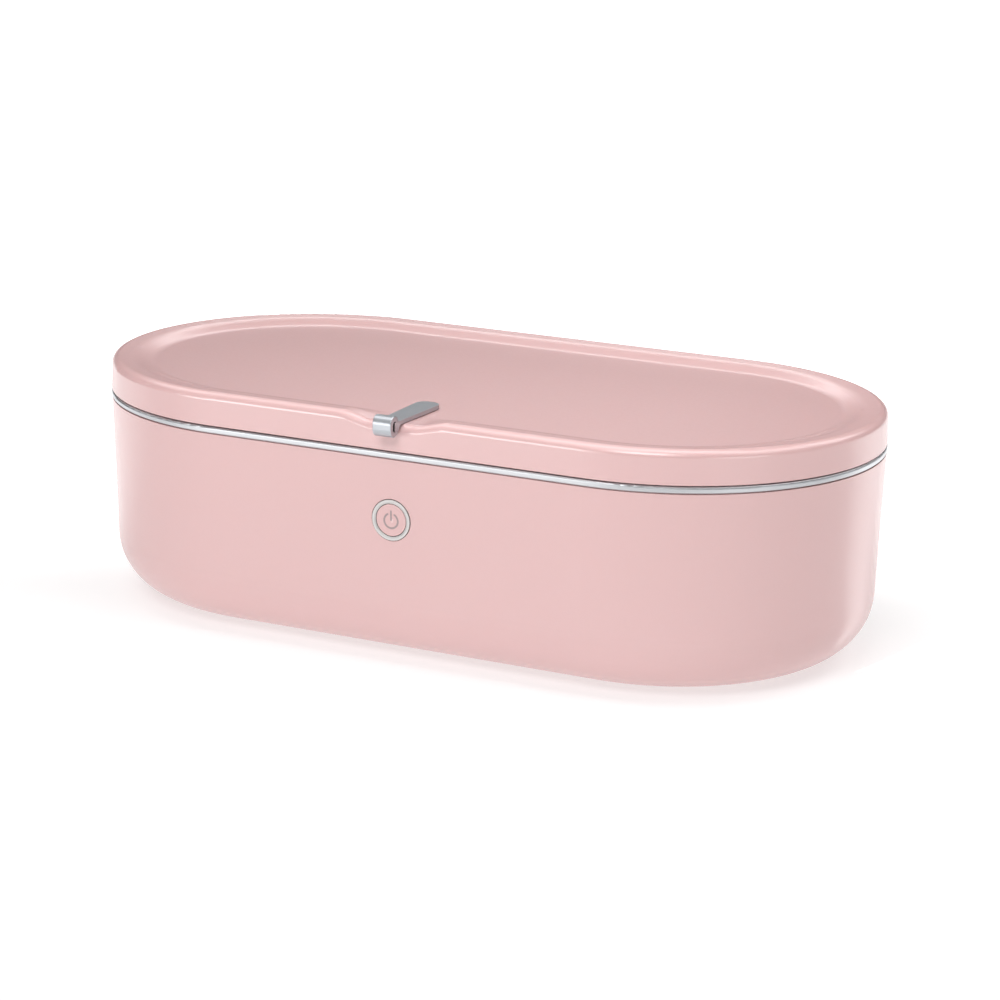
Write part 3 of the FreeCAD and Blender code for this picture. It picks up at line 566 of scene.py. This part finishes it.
ribbonValues = {
    "half": 0.00015,          # half the thickness of the film
    "ridge": 0.00006,         # how far a conductor lifts the film
    # across one lane, as pairs of a share of its width and a share of the ridge
    "lane": ((-0.5, 0), (-0.28, 0), (-0.20, 1), (0.20, 1), (0.28, 0)),
    "rows": 48,               # between two of the route's points
    # points that control the centre line from the inlet board to the lid, as pairs of y and z
    "route": ((0.0568, 0.03802), (0.0568, 0.04571), (0.0598, 0.0559), (0.0598, 0.0620),
              (0.0598, 0.0672), (0.0598, 0.0691), (0.0556, 0.0691)),
    # on the real box the ribbon bends with the lid between these; nothing in the script reads them
    "turnStart": (0, 0.0598, 0.0637),
    "turnEnd": (0, 0.0598, 0.0669),
}


def ribbonLine():
    # rows along one smooth spline that the route's points control
    values = ribbonValues
    curve = bpy.data.curves.new("ribbon_line", "CURVE")
    curve.dimensions = "3D"
    spline = curve.splines.new("NURBS")
    spline.points.add(len(values["route"]) - 1)
    for point, (y, z) in zip(spline.points, values["route"]):
        point.co = (0.0, y, z, 1.0)
    spline.order_u = 3
    spline.use_endpoint_u = True
    spline.resolution_u = values["rows"]
    guide = bpy.data.objects.new("ribbon_line", curve)
    mesh = bpy.data.meshes.new_from_object(guide)
    line = [vertex.co.copy() for vertex in mesh.vertices]
    bpy.data.objects.remove(guide)
    bpy.data.curves.remove(curve)
    bpy.data.meshes.remove(mesh)
    return line


def ribbonSection():
    # the face with the conductors, then the plain back
    values = ribbonValues
    half = values["half"]
    section = []
    for lane in range(filmValues["lanes"]):
        middle = ribbonLow.x + (lane + 0.5) * lanePitch
        for share, lift in values["lane"]:
            section.append((middle + share * lanePitch, half + lift * values["ridge"]))
    return section + [(ribbonHigh.x, half), (ribbonHigh.x, -half), (ribbonLow.x, -half)]


def flexRibbon():
    line = ribbonLine()
    section = ribbonSection()
    build = bmesh.new()
    rows = []
    for index, point in enumerate(line):
        run = (line[min(index + 1, len(line) - 1)] - line[max(index - 1, 0)]).normalized()
        rows.append([
            build.verts.new((x, point.y + run.z * lift, point.z - run.y * lift))
            for x, lift in section])
    for row, following in zip(rows, rows[1:]):
        for index in range(len(section)):
            beside = (index + 1) % len(section)
            build.faces.new((row[index], row[beside], following[beside], following[index]))
    build.faces.new(rows[0])
    build.faces.new(rows[-1])
    piece = meshPiece("flex_ribbon", build, finishes["flex_amber"])
    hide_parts("lid_flex")
    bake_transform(piece)


powerSign()
print("power sign laid on the button")
# the black slug in the barrel's slot is painted shade
barrelSlotShade()
print("core set in the barrel of the tab")
flexRibbon()
print("ribbon laid from the base to the lid")


# Floor, light and camera

floorValues = {
    "half": 9.0,
    "level": -0.00005,        # just under the feet
    "colour": (0.50, 0.50, 0.50, 1.0),
    "tones": (0.99, 1.01),
    "grainScale": 6.0,
    "roughness": 0.85,
    # painted shade: the floor glows less near the box than far from it
    "nearGlow": (0.56, 0.56, 0.56, 1.0),
    "farGlow": (0.92, 0.92, 0.92, 1.0),
    "glowReach": (0.35, 1.20),
    "rearGlow": (1.12, 1.12, 1.12, 1.0),  # painted light: the floor glows more strongly behind the box
    "rearSlant": (-0.45, 1.0, 0.0),
    "rearReach": (0.01, 0.14),
    "sideGlow": (1.55, 1.55, 1.55, 1.0),  # painted light: a glowing streak on the floor, which the right end reflects
    "sideFoot": (0.1225, 0.0, 0.0),
    "sideRun": (0.545, 0.839, 0.0),
    "sideReach": (0.935, 1.0),
}


def makeFloor():
    values = floorValues
    half = values["half"]
    build = bmesh.new()
    corners = ((-half, -half), (half, -half), (half, half), (-half, half))
    build.faces.new([build.verts.new((x, y, values["level"])) for x, y in corners])
    finish = Finish("floor_pale")
    place = finish.place()
    grain = finish.noise(place, values["grainScale"])
    # the glow rises from the painted shade near the box to the far glow
    far = finish.ramp(finish.reach(place), values["glowReach"])
    rear = finish.ramp(finish.along(place, values["rearSlant"]), values["rearReach"])
    beside = finish.heading(finish.shifted(place, values["sideFoot"]))
    # the streak of painted light beside the right end
    streak = finish.ramp(finish.along(beside, values["sideRun"]), values["sideReach"])
    glow = finish.mix(far, values["nearGlow"], values["farGlow"])
    glow = finish.mix(rear, glow, values["rearGlow"])
    pale = finish.shade({
        "Base Color": finish.toned(grain, values["colour"], values["tones"]),
        "Roughness": values["roughness"],
        "Emission Color": finish.mix(streak, glow, values["sideGlow"]),
        "Emission Strength": 1.0,
    })
    pale.cycles.emission_sampling = "NONE"  # the lamps alone are sampled, so less grain
    floor = bpy.data.objects.new("floor", shadedMesh("floor", build))
    floor.data.materials.append(pale)
    bpy.context.scene.collection.objects.link(floor)


lightAim = Vector((0.0, 0.0, 0.04))
softboxes = {
    # azimuth from the front towards the right, height angle, distance, width, height, watts
    "front": (8.0, 42.0, 1.6, 0.75, 0.60, 10.3),
    "frontLow": (-30.0, 5.0, 1.6, 0.75, 0.26, 5.6),
    "frontRight": (60.0, 5.0, 1.6, 0.75, 0.26, 2.2),
    "overDish": (33.7, 70.2, 0.2126, 0.26, 0.16, 0.15),
    "over": (0.0, 90.0, 0.56, 0.4, 0.4, 0.95),
    "overLeft": (-90.0, 51.2, 0.718, 0.4, 0.4, 0.95),
    "overSide": (90.0, 51.2, 0.718, 0.4, 0.4, 1.10),
    "overRear": (135.0, 41.3, 0.848, 0.4, 0.4, 1.30),
    "rearStrip": (-153.0, 28.0, 1.6, 0.55, 0.18, 1.00),
}
roomGlow = {"colour": (1.0, 1.0, 1.0, 1.0), "strength": 0.035}


def spotFrom(azimuth, elevation, distance):
    turn = math.radians(azimuth)
    lift = math.radians(elevation)
    flat = math.cos(lift)
    return Vector((math.sin(turn) * flat, -math.cos(turn) * flat, math.sin(lift))) * distance


def makeLights():
    for name, (azimuth, elevation, distance, width, height, watts) in softboxes.items():
        lamp = bpy.data.lights.new(name, "AREA")
        lamp.shape = "RECTANGLE"
        lamp.size = width
        lamp.size_y = height
        lamp.energy = watts
        box = bpy.data.objects.new(name, lamp)
        away = spotFrom(azimuth, elevation, distance)
        box.location = lightAim + away
        box.rotation_euler = away.to_track_quat("Z", "Y").to_euler()
        bpy.context.scene.collection.objects.link(box)
    world = bpy.data.worlds.new("studio")
    world.use_nodes = True
    back = world.node_tree.nodes["Background"]
    back.inputs["Color"].default_value = roomGlow["colour"]
    back.inputs["Strength"].default_value = roomGlow["strength"]
    bpy.context.scene.world = world


photoView = {
    "target": (0.004317, 0.0, 0.036425),
    "azimuth": 25.738,
    "elevation": 15.181,
    "roll": math.radians(1.135),
    "distance": 0.91088,
    "lens": 105.984,
    "sensor": 36.0,
    "clip": (0.01, 100.0),
}


def makeCamera():
    values = photoView
    back = spotFrom(values["azimuth"], values["elevation"], 1.0)
    level = Vector((0, 0, 1)).cross(back).normalized()
    right = level * math.cos(values["roll"]) + back.cross(level) * math.sin(values["roll"])
    lens = bpy.data.cameras.new("camera")
    lens.sensor_width = values["sensor"]
    lens.lens = values["lens"]
    lens.clip_start, lens.clip_end = values["clip"]
    camera = bpy.data.objects.new("camera", lens)
    turn = Matrix((right, back.cross(right), back)).transposed().to_4x4()
    spot = Vector(values["target"]) + back * values["distance"]
    camera.matrix_world = Matrix.Translation(spot) @ turn
    bpy.context.scene.collection.objects.link(camera)
    bpy.context.scene.camera = camera


makeFloor()
makeLights()
makeCamera()
bpy.context.scene.view_settings.view_transform = "Standard"
print("floor, lights and camera set")
